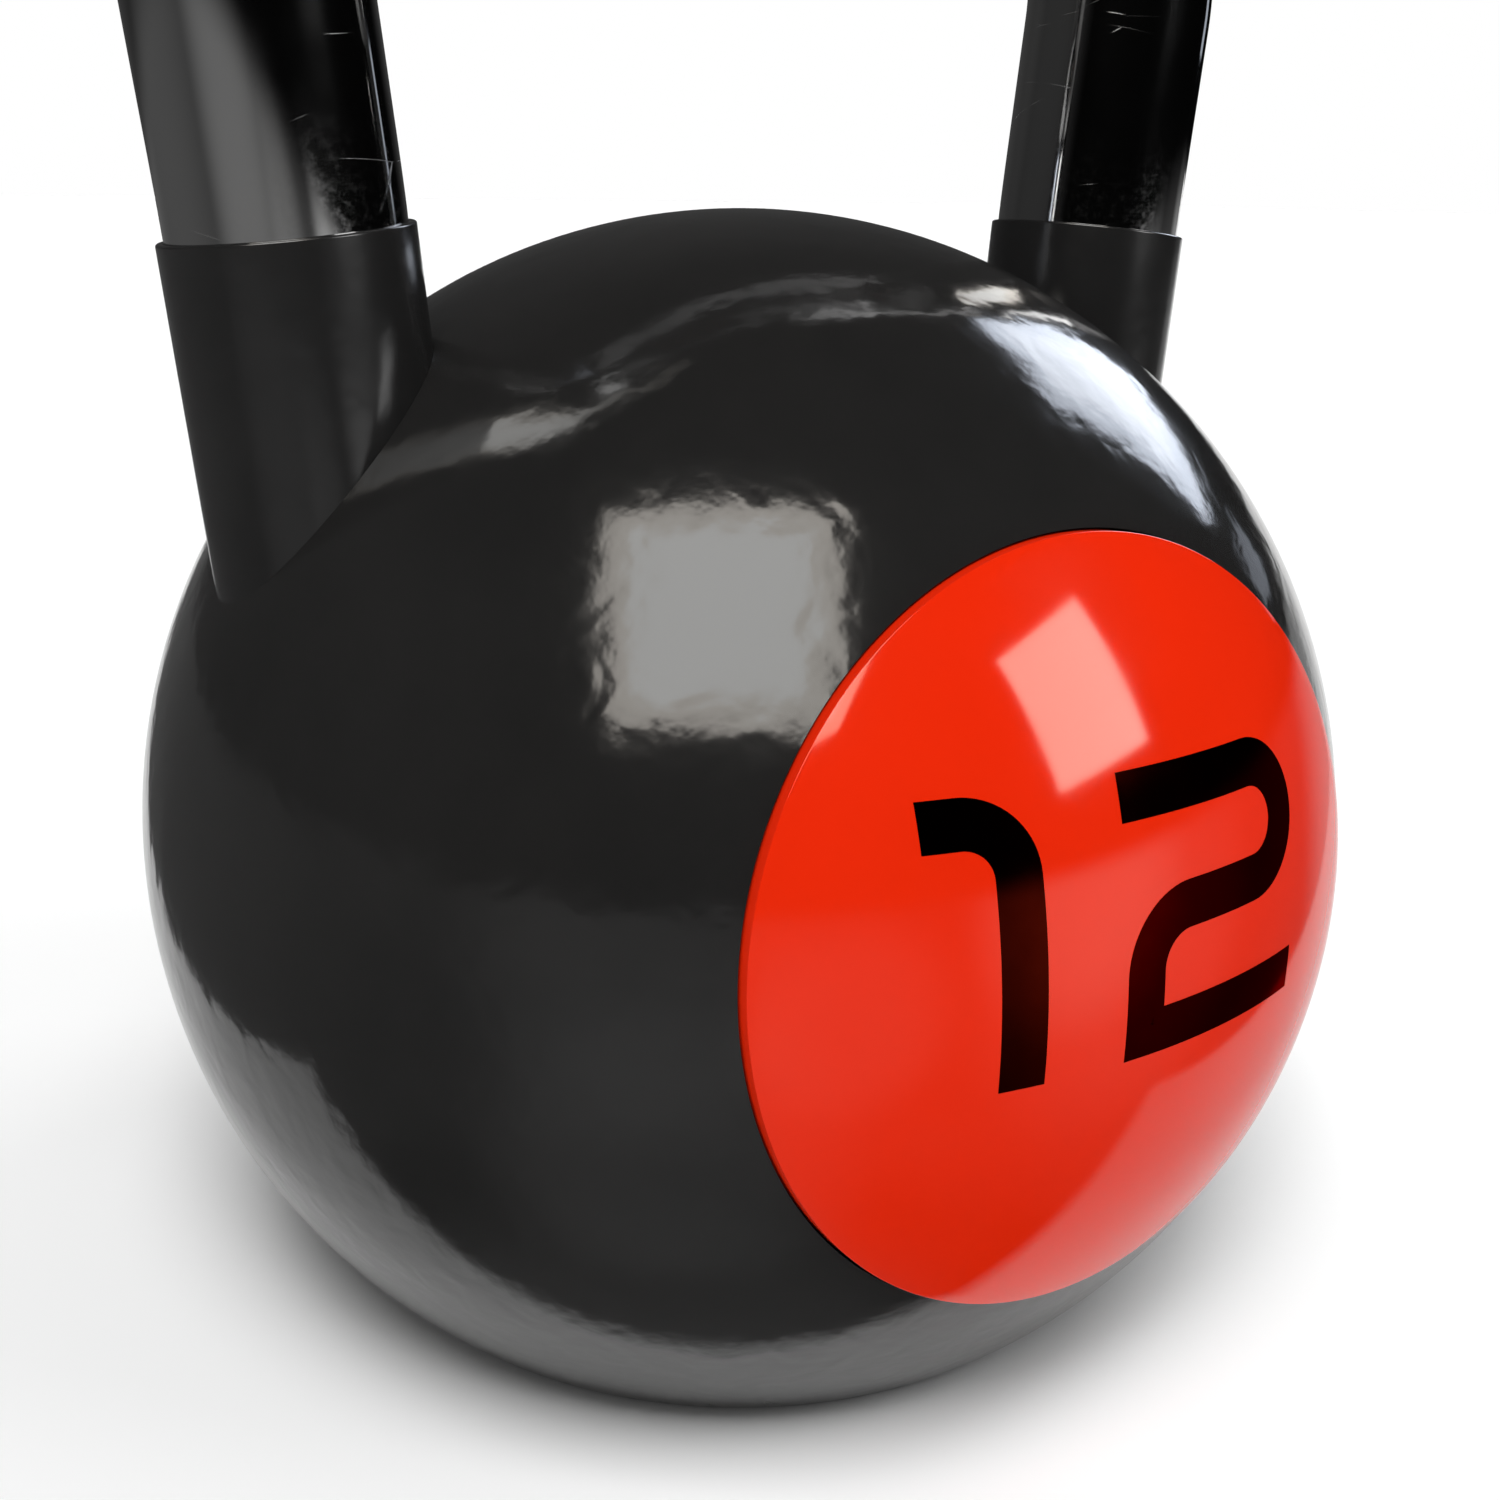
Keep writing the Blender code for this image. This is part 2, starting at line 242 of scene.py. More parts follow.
def make_cover():
    """The ball's skin, with its recesses for the pad and the badge and its holes for the legs."""
    drop = BALL_CENTRE.z - COVER_FLAT_Z
    edge_x = sqrt((BALL_R - COVER_EDGE) ** 2 - (drop - COVER_EDGE) ** 2)
    edge_angle = pi - atan2(edge_x, drop - COVER_EDGE)
    foot = [(0, PAD_RECESS_Z), (PAD_R + GAP, PAD_RECESS_Z), (PAD_R + GAP, COVER_FLAT_Z)]
    heel = arc(COVER_EDGE, pi, edge_angle, HEEL_STEP, (edge_x, COVER_FLAT_Z + COVER_EDGE))
    ball = arc(BALL_R, edge_angle, 0, BALL_STEP, (0, BALL_CENTRE.z))
    cover = add_piece("cover_skin", turned("cover_skin", foot + heel + ball[1:]))

    room_r = CORE_R + GAP
    room_z = CORE_FLAT_Z - GAP
    flat_angle = acos((room_z - BALL_CENTRE.z) / room_r)
    room = [(0, room_z)] + arc(room_r, flat_angle, 0, ROOM_STEP, (0, BALL_CENTRE.z))
    cut(cover, "core_room", turned("core_room", room, ROOM_SIDES))
    leg_hole = [
        (0, BOSS_TIP - GAP),
        (BOSS_TIP_R + GAP, BOSS_TIP - GAP),
        (BOSS_R + GAP, BOSS_SHOULDER),
        (BOSS_R + GAP, BOSS_TOP + GAP),
        (CUFF_R + HAIR, BEAD_ROOM_TOP),
        (CUFF_R + HAIR, 2 * BALL_R),
        (0, 2 * BALL_R),
    ]
    for side in (-1, 1):
        cut(cover, "leg_hole", turned("leg_hole", leg_hole, HOLE_SIDES), leg_matrix(side))
    recess_r = BADGE_R + GAP
    recess = arc(BADGE_CLEAR_R, 0, asin(recess_r / BADGE_CLEAR_R), HIDDEN_DOME_STEP)
    recess += arc(BADGE_FLOOR_R, asin(recess_r / BADGE_FLOOR_R), 0, HIDDEN_DOME_STEP)
    cut(cover, "badge_recess", turned("badge_recess", recess), BADGE_MATRIX)
    cover.data.shade_smooth()
    cover.data.set_sharp_from_angle(angle=COVER_SHARP_ANGLE)
    ride(cover, "ball_cover")
    return cover


def make_cuff(side, word):
    profile = rounded([
        (BAR_R + HAIR, CUFF_FOOT, 0),
        (BAR_R + HAIR, CUFF_RIM, CUFF_INNER_EDGE),
        (CUFF_R, CUFF_RIM, CUFF_OUTER_EDGE),
        (CUFF_R, CUFF_FOOT, 0),
    ])
    cuff = add_piece(f"{word}_cuff_skin", turned("cuff", profile, CUFF_SIDES), leg_matrix(side))
    ride(cuff, f"{word}_cuff")
    return cuff


def handle_half():
    """Points (x, z) of the bar's axis on the +X side, with the angle from +Z of the axis at each."""

    def leg(distance):
        return Vector((LEG_X + distance * sin(LEG_LEAN), BALL_CENTRE.z + distance * cos(LEG_LEAN)))

    spots = [(leg(BAR_FOOT + LEG_RUN * i), LEG_LEAN) for i in range(LEG_RUNS)]
    start = leg(LEAN_BEND_START)
    bend = start + LEAN_BEND_R * Vector((cos(LEG_LEAN), -sin(LEG_LEAN)))
    for i in range(LEAN_STEPS + 1):
        lean = LEG_LEAN + (UPPER_LEAN - LEG_LEAN) * i / LEAN_STEPS
        spots.append((bend + LEAN_BEND_R * Vector((-cos(lean), sin(lean))), lean))
    knee = spots[-1][0]
    centre_z = GRIP_Z - GRIP_BEND_R
    bend_start_z = centre_z - GRIP_BEND_R * sin(UPPER_LEAN)
    start_x = knee.x + (bend_start_z - knee.y) * tan(UPPER_LEAN)
    for i in range(1, UPPER_LEG_RUNS):
        spots.append((knee.lerp(Vector((start_x, bend_start_z)), i / UPPER_LEG_RUNS), UPPER_LEAN))
    centre = Vector((start_x - GRIP_BEND_R * cos(UPPER_LEAN), centre_z))
    for i in range(BEND_STEPS + 1):
        turn = -UPPER_LEAN + (pi / 2 + UPPER_LEAN) * i / BEND_STEPS
        spots.append((centre + GRIP_BEND_R * Vector((cos(turn), sin(turn))), -turn))
    for i in range(1, GRIP_RUNS):
        spots.append((Vector((centre.x * (1 - i / GRIP_RUNS), GRIP_Z)), -pi / 2))
    return spots


def make_handle():
    right = handle_half()
    left = [(Vector((-p.x, p.y)), -pi - a) for p, a in reversed(right)]
    middle = [(Vector((0, GRIP_Z)), -pi / 2)]
    path = right + middle + left
    bm = bmesh.new()
    rings = []
    for place, angle in path:
        across = Vector((cos(angle), 0, -sin(angle)))
        ring = []
        for i in range(BAR_SIDES):
            a = 2 * pi * i / BAR_SIDES
            offset = BAR_R * (cos(a) * across + sin(a) * Vector((0, 1, 0)))
            ring.append(bm.verts.new(Vector((place.x, 0, place.y)) + offset))
        rings.append(ring)
    for lower, upper in zip(rings, rings[1:]):
        for i in range(BAR_SIDES):
            j = (i + 1) % BAR_SIDES
            bm.faces.new((lower[i], lower[j], upper[j], upper[i]))
    bm.faces.new(rings[0])
    bm.faces.new(rings[-1])
    handle = add_piece("handle_skin", finish_mesh("handle_skin", bm))
    ride(handle, "handle_bar")
    return handle


def make_badge():
    lip_path = BADGE_DOME_R - BADGE_LIP
    slope = asin((BADGE_R - BADGE_LIP) / lip_path)
    dome = arc(BADGE_DOME_R, 0, slope, DOME_STEP)
    lip_centre = (lip_path * sin(slope), lip_path * cos(slope))
    round_edge = arc(BADGE_LIP, slope, pi / 2, LIP_STEP, lip_centre)
    back_r = BADGE_DOME_R - BADGE_T
    back = arc(back_r, asin(BADGE_R / back_r), 0, HIDDEN_DOME_STEP)
    badge = add_piece("badge_dome", turned("badge_dome", dome[:-1] + round_edge + back), BADGE_MATRIX)
    ride(badge, "badge_cap")
    return badge


def stroke_sides(start, moves, width):
    """The outline of a stroke that starts along +X. A move is a length, or a (radius, turn) arc."""
    place = Vector(start)
    heading = 0.0
    left, right = [], []

    def mark(at, angle, stretch=1.0):
        across = Vector((-sin(angle), cos(angle))) * width / 2 * stretch
        left.append(at + across)
        right.append(at - across)

    mark(place, heading)
    for move in moves:
        if not isinstance(move, tuple):
            steps = max(1, round(move / STROKE_RUN))
            for i in range(1, steps):
                mark(place + move * i / steps * Vector((cos(heading), sin(heading))), heading)
            place = place + move * Vector((cos(heading), sin(heading)))
            continue
        radius, turn = move
        if radius == 0:
            mark(place, heading + turn / 2, 1 / cos(turn / 2))
            heading += turn
            continue
        toward = 1 if turn > 0 else -1
        centre = place + toward * radius * Vector((-sin(heading), cos(heading)))
        steps = round(abs(turn) / STROKE_STEP)
        for i in range(steps + 1):
            angle = heading + turn * i / steps
            place = centre - toward * radius * Vector((-sin(angle), cos(angle)))
            mark(place, angle)
        heading += turn
    mark(place, heading)
    return left, right


QUARTER = pi / 2
# Each numeral is one stroke: where it starts, then its moves
NUMERALS = {
    "one": ((-0.0293, 0.0189), [0.0043, (0.0064, -QUARTER), 0.0247]),
    "two": (
        (-0.0045, 0.0189),
        [0.0222, (0.00695, -2 * QUARTER), 0.0124, (0.0072, QUARTER), 0.0072, (0, QUARTER), 0.0292],
    ),
}


def make_numeral(word):
    """A thin plate on the cap's dome, from a strip of quads laid along the stroke."""
    across = STROKE_RUNS_ACROSS
    left, right = stroke_sides(*NUMERALS[word], STROKE_W)
    bm = bmesh.new()

    def on_dome(p, radius):
        return bm.verts.new((p.x, p.y, sqrt(radius**2 - p.x**2 - p.y**2)))

    layers = []
    for radius in (BADGE_DOME_R + HAIR, BADGE_DOME_R - PRINT_T):
        layers.append([
            [on_dome(a.lerp(b, k / across), radius) for k in range(across + 1)] for a, b in zip(left, right)
        ])
    for rows in layers:
        for row, after in zip(rows, rows[1:]):
            for k in range(across):
                bm.faces.new((row[k], row[k + 1], after[k + 1], after[k]))
    top, bottom = layers
    for k in (0, across):
        for i in range(len(top) - 1):
            bm.faces.new((top[i][k], top[i + 1][k], bottom[i + 1][k], bottom[i][k]))
    for i in (0, -1):
        for k in range(across):
            bm.faces.new((top[i][k], top[i][k + 1], bottom[i][k + 1], bottom[i][k]))
    numeral = add_piece(f"printed_{word}", finish_mesh(f"printed_{word}", bm), BADGE_MATRIX)
    ride(numeral, f"numeral_{word}")
    return numeral


def make_pad():
    """The foot pad, with shallow rings moulded in its underside."""
    corners = [(0, PAD_T, 0), (PAD_R, PAD_T, PAD_TOP_EDGE), (PAD_R, 0, PAD_FOOT_EDGE)]
    ring_r = RING_OUTER_R
    while ring_r > RING_INNER_R:
        corners += [
            (ring_r, 0, RING_EDGE),
            (ring_r - RING_DEPTH, RING_DEPTH, RING_EDGE),
            (ring_r - 2 * RING_DEPTH, RING_DEPTH, RING_EDGE),
            (ring_r - 3 * RING_DEPTH, 0, RING_EDGE),
        ]
        ring_r -= RING_PITCH
    corners.append((0, 0, 0))
    pad = add_piece("pad_tread", turned("pad_tread", rounded(corners, 3), PAD_SIDES))
    ride(pad, "base_pad")
    return pad


# ---------------------------------------------------------------- materials


class Finish:
    """A material and short calls for its nodes."""

    def __init__(self, name, colour, roughness, metallic=0.0, **sockets):
        self.mat = bpy.data.materials.new(name)
        self.mat.use_nodes = True
        self.tree = self.mat.node_tree
        self.shader = self.tree.nodes["Principled BSDF"]
        self.shader.inputs["Base Color"].default_value = (*colour, 1)
        self.shader.inputs["Roughness"].default_value = roughness
        self.shader.inputs["Metallic"].default_value = metallic
        for socket, value in sockets.items():
            self.shader.inputs[socket.replace("_", " ")].default_value = value
        self.place = self.tree.nodes.new("ShaderNodeTexCoord").outputs["Object"]

    def node(self, kind, links=(), **values):
        node = self.tree.nodes.new(kind)
        for key, value in values.items():
            setattr(node, key, value)
        for socket, source in dict(links).items():
            if hasattr(source, "is_output"):
                self.tree.links.new(source, node.inputs[socket])
            else:
                node.inputs[socket].default_value = source
        return node

    def stretched(self, scale):
        return self.node("ShaderNodeMapping", {"Vector": self.place, "Scale": scale}).outputs["Vector"]

    def noise(self, scale, detail=2.0, rough=0.5, distort=0.0, vector=None):
        links = {"Vector": vector or self.place, "Scale": scale, "Detail": detail}
        links |= {"Roughness": rough, "Distortion": distort}
        return self.node("ShaderNodeTexNoise", links).outputs["Fac"]

    def spread(self, source, low, high, out_low=0.0, out_high=1.0):
        """source between low and high, mapped to between out_low and out_high."""
        links = {"Value": source, "From Min": low, "From Max": high, "To Min": out_low, "To Max": out_high}
        return self.node("ShaderNodeMapRange", links).outputs["Result"]

    def maths(self, operation, a, b=0.0):
        return self.node("ShaderNodeMath", {0: a, 1: b}, operation=operation).outputs["Value"]

    def blend(self, factor, a, b):
        node = self.node("ShaderNodeMix", {"Factor": factor}, data_type="RGBA")
        for socket, source in ((6, a), (7, b)):
            if hasattr(source, "is_output"):
                self.tree.links.new(source, node.inputs[socket])
            else:
                node.inputs[socket].default_value = (*source, 1)
        return node.outputs[2]

    def bump(self, height, distance, after=None):
        links = {"Height": height, "Distance": distance, "Strength": 1.0}
        if after is not None:
            links["Normal"] = after
        return self.node("ShaderNodeBump", links).outputs["Normal"]

    def use(self, **sources):
        for socket, source in sources.items():
            self.tree.links.new(source, self.shader.inputs[socket.replace("_", " ")])


def urethane():
    """Cast urethane: glossy black with an orange peel, faint mottling and scuffs near its foot."""
    f = Finish("glossy_urethane", (0.0130, 0.0126, 0.0123), 0.11, Specular_IOR_Level=0.5)
    mottle = f.noise(38, 4, 0.6)
    tone = f.blend(f.spread(mottle, 0.35, 0.65), (0.0118, 0.0115, 0.0112), (0.0142, 0.0137, 0.0133))
    height = f.node("ShaderNodeSeparateXYZ", {0: f.place}).outputs["Z"]
    low = f.spread(height, 0.016, 0.002)
    scuff = f.spread(f.noise(260, 5, 0.7, 0.4), 0.56, 0.72)
    worn = f.maths("MULTIPLY", low, scuff)
    f.use(Base_Color=f.blend(worn, tone, (0.040, 0.039, 0.038)))
    smear = f.spread(f.noise(22, 3, 0.55, 0.8), 0.35, 0.7, 0.095, 0.13)
    f.use(Roughness=f.maths("ADD", smear, f.maths("MULTIPLY", worn, 0.3)))
    peel = f.bump(f.noise(400, 2, 0.5), 0.000026)
    waves = f.bump(f.noise(150, 1.5, 0.5, 0.4), 0.000140, peel)
    f.use(Normal=waves)
    return f.mat


def sleeve():
    """The cuffs: the same black, smoother, with faint drawn lines along the leg."""
    f = Finish("smooth_sleeve", (0.0120, 0.0118, 0.0118), 0.18)
    along = f.stretched((1, 1, 0.06))
    lines = f.noise(700, 3, 0.6, vector=along)
    mottle = f.noise(60, 4, 0.6)
    tone = f.blend(f.spread(mottle, 0.3, 0.7), (0.0108, 0.0106, 0.0105), (0.0136, 0.0133, 0.0131))
    f.use(Base_Color=tone)
    f.use(Roughness=f.spread(f.noise(45, 4, 0.6), 0.3, 0.7, 0.14, 0.22))
    f.use(Normal=f.bump(lines, 0.0000022, f.bump(f.noise(130, 2, 0.5, 0.4), 0.00009)))
    return f.mat


def black_chrome():
    """Polished black chrome with hairline scratches, mostly across the bar, and hand marks."""
    f = Finish("black_chrome", (0.44, 0.44, 0.44), 0.07, 1.0)
    tint = f.noise(30, 3, 0.6)
    tone = f.blend(f.spread(tint, 0.35, 0.65), (0.425, 0.425, 0.425), (0.455, 0.452, 0.448))
    scratches = None
    for tilt, scale in ((0.10, 48), (-0.16, 75), (0.22, 33), (-0.34, 40)):
        turn = {"Vector": f.place, "Rotation": (tilt, tilt * 0.6, 0), "Scale": (6, 6, 1)}
        warped = f.node("ShaderNodeMapping", turn, vector_type="TEXTURE").outputs["Vector"]
        pattern = {"Vector": warped, "Scale": scale}
        cells = f.node("ShaderNodeTexVoronoi", pattern, feature="DISTANCE_TO_EDGE")
        line = f.spread(cells.outputs["Distance"], 0.00007 * scale, 0.0)
        patch = f.spread(f.noise(scale * 1.6, 2, 0.5), 0.60, 0.68)
        line = f.maths("MULTIPLY", line, patch)
        scratches = line if scratches is None else f.maths("MAXIMUM", scratches, line)
    height = f.node("ShaderNodeSeparateXYZ", {0: f.place}).outputs["Z"]
    grime = f.maths("MULTIPLY", f.spread(height, 0.169, 0.153), f.spread(f.noise(900, 4, 0.7), 0.45, 0.75))
    haze = f.spread(f.noise(55, 4, 0.65), 0.4, 0.75, 0.055, 0.085)
    haze = f.maths("ADD", haze, f.maths("MULTIPLY", grime, 0.12))
    f.use(Base_Color=f.blend(scratches, tone, (0.60, 0.60, 0.60)))
    f.use(Roughness=f.maths("ADD", haze, f.maths("MULTIPLY", scratches, 0.35)))
    f.use(Normal=f.bump(f.noise(120, 2), 0.000003))
    return f.mat


def red_cap():
    """High-gloss red, with a little depth in the colour and the finest handling marks."""
    f = Finish("gloss_red", (0.735, 0.0200, 0.0025), 0.08, Specular_Tint=(1, 0.93, 0.78, 1))
    tone = f.noise(24, 4, 0.6)
    f.use(Base_Color=f.blend(f.spread(tone, 0.3, 0.7), (0.715, 0.0187, 0.0022), (0.755, 0.0213, 0.0028)))
    f.use(Roughness=f.spread(f.noise(70, 4, 0.6), 0.35, 0.75, 0.065, 0.105))
    f.use(Normal=f.bump(f.noise(60, 2), 0.000008))
    return f.mat


def numeral_ink():
    """Black print on red: what little gloss it has takes the red of the cap beneath it."""
    f = Finish("numeral_ink", (0.045, 0.0025, 0.0006), 0.10, 1.0, Specular_Tint=(1, 0.05, 0.03, 1))
    speck = f.spread(f.noise(220, 3), 0.2, 0.8)
    f.use(Base_Color=f.blend(speck, (0.038, 0.0020, 0.0005), (0.052, 0.0030, 0.0008)))
    f.use(Roughness=f.spread(f.noise(70, 4, 0.6), 0.35, 0.75, 0.085, 0.13))
    f.use(Normal=f.bump(f.noise(60, 2), 0.000008))
    return f.mat


def grained(name, low, high, rough, metallic, scale, distance):
    """A plain finish with its own grain, for the pieces that are mostly hidden."""
    f = Finish(name, low, rough[0], metallic)
    f.use(Base_Color=f.blend(f.spread(f.noise(scale * 0.3, 4, 0.6), 0.3, 0.7), low, high))
    f.use(Roughness=f.spread(f.noise(scale * 0.7, 4, 0.6), 0.3, 0.7, *rough))
    f.use(Normal=f.bump(f.noise(scale, 5, 0.65), distance))
    return f.mat


def pad_rubber():
    return grained("pad_rubber", (0.02, 0.02, 0.021), (0.03, 0.03, 0.031), (0.6, 0.8), 0.0, 900, 0.00003)


def assign(obj, mat):
    obj.data.materials.clear()
    obj.data.materials.append(mat)


def paint_nodes():
    iron = grained("cast_iron", (0.06, 0.058, 0.055), (0.13, 0.12, 0.115), (0.5, 0.8), 0.7, 500, 0.00012)
    steel = grained("turned_steel", (0.42, 0.42, 0.43), (0.52, 0.52, 0.53), (0.25, 0.42), 1.0, 900, 0.00001)
    weld = grained("weld_steel", (0.2, 0.18, 0.16), (0.38, 0.36, 0.34), (0.35, 0.6), 1.0, 420, 0.00008)
    glue = grained("adhesive", (0.5, 0.48, 0.43), (0.6, 0.58, 0.53), (0.6, 0.8), 0.0, 300, 0.00003)
    finishes = {
        "core_casting": iron,
        "core_plug": steel,
        "left_weld_bead": weld,
        "right_weld_bead": weld,
        "badge_adhesive": glue,
        "pad_adhesive": glue,
    }
    for name, mat in finishes.items():
        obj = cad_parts[name]
        for slot in obj.material_slots:
            slot.material = mat


# ---------------------------------------------------------------- stage


def direction(azimuth, elevation):
    """Unit vector from the ball, in degrees: azimuth from -Y towards +X."""
    a, e = radians(azimuth), radians(elevation)
    return Vector((sin(a) * cos(e), -cos(a) * cos(e), sin(e)))


WARM = (1.0, 0.945, 0.865)
COOL = (0.80, 0.87, 1.0)
BLUE = (0.60, 0.80, 1.0)
WHITE = (1.0, 1.0, 1.0)

# Name, azimuth and elevation, width and height in degrees, roll, radiance, colour
GLOSS_LIGHTS = [
    ("key_box", (-39, 50.4), (39.5, 41), 4, 6.5, WARM),
    ("key_core", (-39, 50.4), (30, 32), 4, 1.8, BLUE),
    ("badge_box", (34, 22.5), (21, 23), 3, 7.8, WHITE),
    ("window", (105.5, 28), (23, 26.5), 0, 5.6, COOL),
    ("window_core", (105.5, 28), (14, 19), 0, 1.3, WHITE),
    ("sill", (100, 5.5), (8, 6), 0, 0.7, COOL),
]
MATT_LIGHTS = [
    ("key_wash", (-35, 64), (28, 26), 0, 12.0, WHITE),
    ("badge_wash", (45, 33), (21, 23), 0, 3.8, WHITE),
    ("window_wash", (92, 37), (23, 26), 0, 2.7, WHITE),
]


def make_lights():
    """Area lights, each set by the angle that it spans as seen from the ball. No two share a plane."""
    reach = STUDIO_R
    for lights, on_gloss in ((GLOSS_LIGHTS, True), (MATT_LIGHTS, False)):
        for name, (azimuth, elevation), (width, height), roll, radiance, colour in lights:
            reach += LIGHT_STEP
            light = bpy.data.lights.new(name, "AREA")
            light.shape = "RECTANGLE"
            light.size = 2 * reach * tan(radians(width) / 2)
            light.size_y = 2 * reach * tan(radians(height) / 2)
            light.energy = radiance * pi * light.size * light.size_y
            light.color = colour
            obj = bpy.data.objects.new(name, light)
            back = direction(azimuth, elevation)
            facing = (-back).to_track_quat("-Z", "Y").to_matrix().to_4x4()
            place = Matrix.Translation(BALL_CENTRE + back * reach)
            obj.matrix_world = place @ facing @ Matrix.Rotation(radians(roll), 4, "Z")
            obj.visible_camera = False
            obj.visible_glossy = on_gloss
            obj.visible_diffuse = not on_gloss
            bpy.context.scene.collection.objects.link(obj)


# The dim room as the gloss sees it: glows on its floor, by direction, outer angle and radiance
FLOOR_GLOWS = [
    (direction(-52, -14), 36, 0.18),
    (direction(-48, -45), 34, 0.20),
    (direction(-70, -78), 35, 0.12),
    (direction(-16, -20), 22, 0.30),
    (direction(27, -6), 24, 0.75),
    (direction(34, -12), 34, 0.30),
    (direction(107, -11), 22, 0.40),
]
WALL_GLOWS = [(direction(-125, 16), 52, 0.05), (direction(165, 15), 50, 0.06)]
ROOM_FLOOR = 0.09
ROOM_CEILING = 0.002
FILL = 0.25
# Heights of a direction: the floor is dark under the first range, and ends at the second
UNDER_FADE = (-0.86, -0.64)
HORIZON_FADE = (-0.065, 0.0)


def make_world():
    """White to the camera, a dark room with a dim floor to glossy rays, and a low fill to the rest."""
    world = bpy.data.worlds.new("studio")
    bpy.context.scene.world = world
    world.use_nodes = True
    nodes, links = world.node_tree.nodes, world.node_tree.links
    nodes.clear()
    path = nodes.new("ShaderNodeLightPath")
    way = nodes.new("ShaderNodeTexCoord").outputs["Generated"]
    parts = nodes.new("ShaderNodeSeparateXYZ")
    links.new(way, parts.inputs[0])

    def ramp(source, low, high, out_low, out_high):
        node = nodes.new("ShaderNodeMapRange")
        node.interpolation_type = "SMOOTHSTEP"
        links.new(source, node.inputs["Value"])
        values = {"From Min": low, "From Max": high, "To Min": out_low, "To Max": out_high}
        for socket, value in values.items():
            node.inputs[socket].default_value = value
        return node.outputs["Result"]

    def maths(operation, a, b):
        node = nodes.new("ShaderNodeMath")
        node.operation = operation
        for socket, source in zip(node.inputs, (a, b)):
            if hasattr(source, "is_output"):
                links.new(source, socket)
            else:
                socket.default_value = source
        return node.outputs[0]

    def background(strength):
        node = nodes.new("ShaderNodeBackground")
        node.inputs["Color"].default_value = (1, 1, 1, 1)
        if hasattr(strength, "is_output"):
            links.new(strength, node.inputs["Strength"])
        else:
            node.inputs["Strength"].default_value = strength
        return node.outputs[0]

    def either(choice, yes, no):
        node = nodes.new("ShaderNodeMixShader")
        links.new(choice, node.inputs[0])
        links.new(no, node.inputs[1])
        links.new(yes, node.inputs[2])
        return node.outputs[0]

    def glow(centre, outer, radiance):
        dot = nodes.new("ShaderNodeVectorMath")
        dot.operation = "DOT_PRODUCT"
        links.new(way, dot.inputs[0])
        dot.inputs[1].default_value = centre
        return ramp(dot.outputs["Value"], cos(radians(outer)), 1.0, 0.0, radiance)

    height = parts.outputs["Z"]
    floor = ramp(height, *UNDER_FADE, 0.0, ROOM_FLOOR)
    for spot in FLOOR_GLOWS:
        floor = maths("ADD", glow(*spot), floor)
    below = ramp(height, *HORIZON_FADE, 1.0, 0.0)
    room = maths("ADD", maths("MULTIPLY", floor, below), ROOM_CEILING)
    for spot in WALL_GLOWS:
        room = maths("ADD", glow(*spot), room)
    unseen = either(path.outputs["Is Glossy Ray"], background(room), background(FILL))
    shown = either(path.outputs["Is Camera Ray"], background(1.0), unseen)
    out = nodes.new("ShaderNodeOutputWorld")
    links.new(shown, out.inputs["Surface"])


# Gloss sees the floor only on the left of each of these edges: a point in ball radii, a heading,
# how softly the floor starts, and how bright it is beside the edge
PLATE_EDGES = [
    ((-1.67, 0.16), -101.5, 0.03, 0.85),
    ((-1.70, 0.13), -35.7, 0.05, 1.0),
    ((0.70, -1.56), 23.5, 0.05, 0.58),
]
BESIDE_FADE = (0.45, 1.1)  # how far in from an edge the floor reaches its full brightness


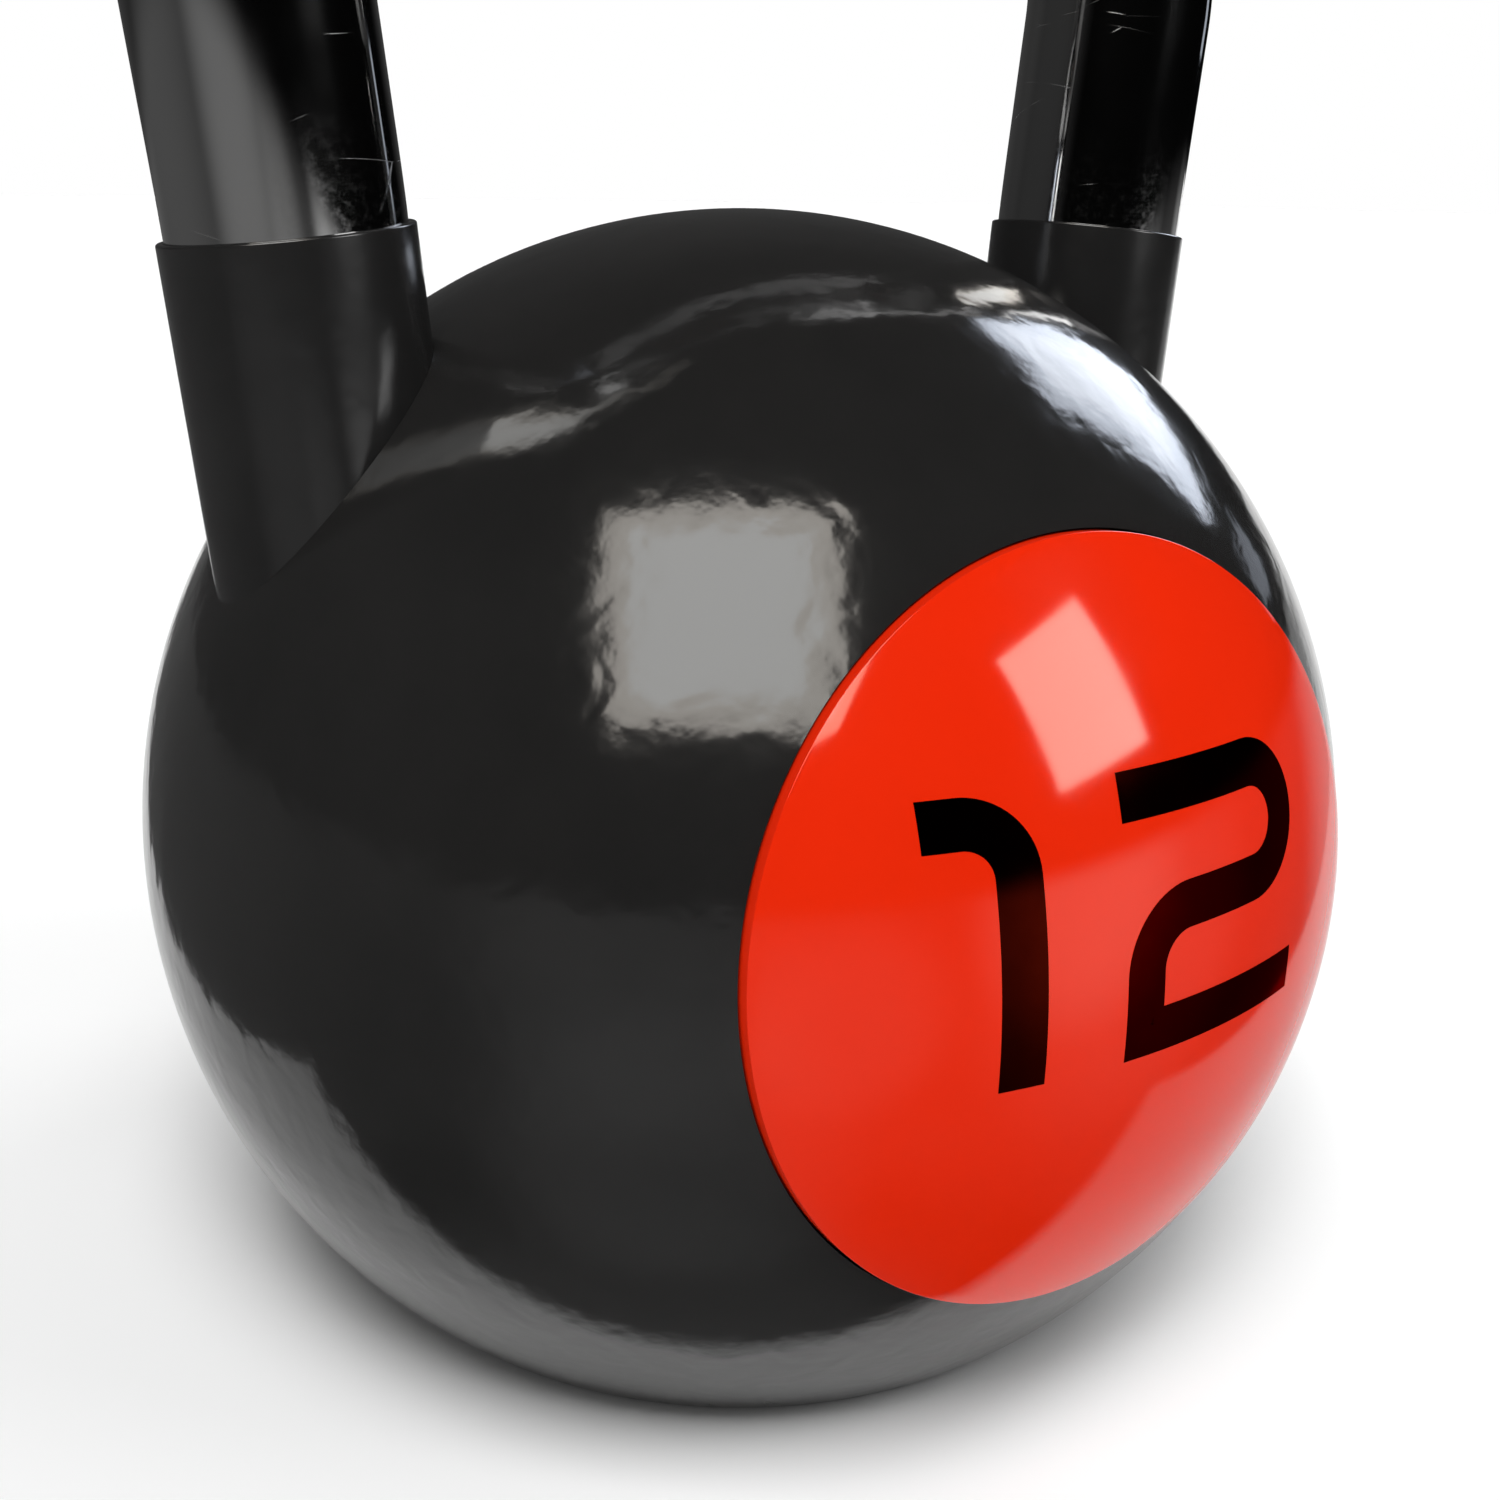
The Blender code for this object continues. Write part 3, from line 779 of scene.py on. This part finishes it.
def make_floor():
    """A pale floor. Past its plate, glossy rays go through it to the dim room."""
    f = Finish("pale_floor", (0.93, 0.93, 0.93), 0.9, Specular_IOR_Level=0.0)
    f.use(Base_Color=f.blend(f.noise(3, 2), (0.925, 0.925, 0.925), (0.935, 0.935, 0.935)))
    plate = 1.0
    for (x, y), heading, soft, beside in PLATE_EDGES:
        inward = Vector((-sin(radians(heading)), cos(radians(heading)), 0))
        along = f.node("ShaderNodeVectorMath", {0: f.place, 1: inward / BALL_R}, operation="DOT_PRODUCT")
        depth = f.maths("SUBTRACT", along.outputs["Value"], inward.dot(Vector((x, y, 0))))
        edge = f.maths("MULTIPLY", f.spread(depth, 0.0, soft), f.spread(depth, *BESIDE_FADE, beside, 1.0))
        plate = f.maths("MULTIPLY", edge, plate)
    glossy = f.node("ShaderNodeLightPath").outputs["Is Glossy Ray"]
    gone = f.maths("MULTIPLY", glossy, f.maths("SUBTRACT", 1.0, plate))
    clear = f.node("ShaderNodeBsdfTransparent").outputs["BSDF"]
    seen = f.node("ShaderNodeMixShader", {0: gone, 1: f.shader.outputs["BSDF"], 2: clear})
    f.tree.links.new(seen.outputs["Shader"], f.tree.nodes["Material Output"].inputs["Surface"])
    bm = bmesh.new()
    corners = ((-1, -1), (1, -1), (1, 1), (-1, 1))
    bm.faces.new([bm.verts.new((FLOOR_REACH * x, FLOOR_REACH * y, 0)) for x, y in corners])
    floor = add_piece("floor", finish_mesh("floor", bm))
    assign(floor, f.mat)


def make_camera():
    data = bpy.data.cameras.new("camera")
    data.lens = LENS_MM
    data.sensor_width = 36
    data.shift_y = SHIFT_Y
    data.clip_start = 0.01
    camera = bpy.data.objects.new("camera", data)
    back = direction(VIEW_AZIMUTH, VIEW_ELEVATION)
    right = (-back).cross(Vector((0, 0, 1))).normalized()
    up = back.cross(right)
    look = Matrix((right, up, back)).transposed().to_4x4()
    aim = Matrix.Rotation(AIM_YAW, 4, "Y") @ Matrix.Rotation(AIM_PITCH, 4, "X")
    aim = aim @ Matrix.Rotation(AIM_ROLL, 4, "Z")
    camera.matrix_world = Matrix.Translation(BALL_CENTRE + back * VIEW_DISTANCE) @ look @ aim
    bpy.context.scene.collection.objects.link(camera)
    bpy.context.scene.camera = camera


def main():
    bpy.context.scene.view_settings.view_transform = "Standard"
    make_camera()
    paint_nodes()
    assign(make_cover(), urethane())
    cuff_finish = sleeve()
    for side, word in ((-1, "left"), (1, "right")):
        assign(make_cuff(side, word), cuff_finish)
    assign(make_handle(), black_chrome())
    assign(make_badge(), red_cap())
    ink = numeral_ink()
    for word in NUMERALS:
        assign(make_numeral(word), ink)
    assign(make_pad(), pad_rubber())
    make_floor()
    make_world()
    make_lights()


main()
